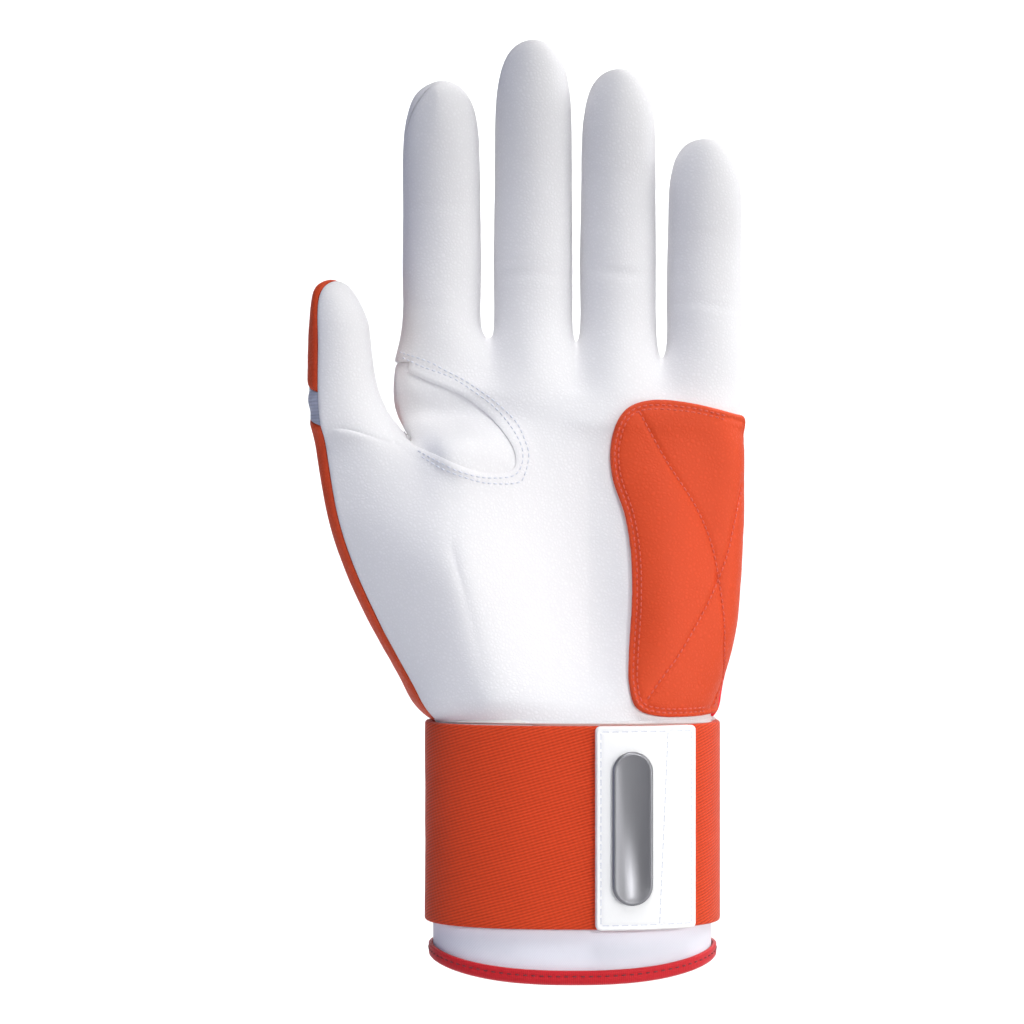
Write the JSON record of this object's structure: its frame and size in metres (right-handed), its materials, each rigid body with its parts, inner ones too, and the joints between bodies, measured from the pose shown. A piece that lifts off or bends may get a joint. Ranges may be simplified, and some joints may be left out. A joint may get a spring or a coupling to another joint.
{
  "type": "batting glove",
  "caption": "Left-hand batting glove in its worn form: white leather palm, orange heel pad and back, wide wrist band with a closure tab, bound cuff.",
  "frame": {"origin": "middle of the wrist opening, level with the lowest point of the hem", "axes": "+Z from the wrist to the fingertips, -Y the way the palm faces, -X the thumb side"},
  "size_m": [0.1205, 0.0592, 0.2549],
  "materials": {
    "white_leather": "matte",
    "orange_leather": "satin",
    "grey_stretch_cloth": "matte",
    "red_piping": "satin",
    "cuff_cloth": "matte",
    "red_binding": "matte",
    "band_elastic": "matte",
    "tab_white": "satin",
    "brushed_metal": "brushed"
  },
  "bodies": {
    "root": {"palm": "white_leather", "thumb_gusset": "white_leather", "heel_pad": "orange_leather", "back_panel": "orange_leather", "thumb_back_tip": "orange_leather", "thumb_knuckle_cloth": "grey_stretch_cloth", "finger_back_index": "white_leather", "finger_back_middle": "white_leather", "finger_back_ring": "white_leather", "finger_back_little": "white_leather", "ulnar_piping": "red_piping", "cuff": "cuff_cloth", "cuff_binding": "red_binding", "wrist_band": "band_elastic", "closure_tab": "tab_white", "badge_plate": "brushed_metal"}
  },
  "joints": []
}
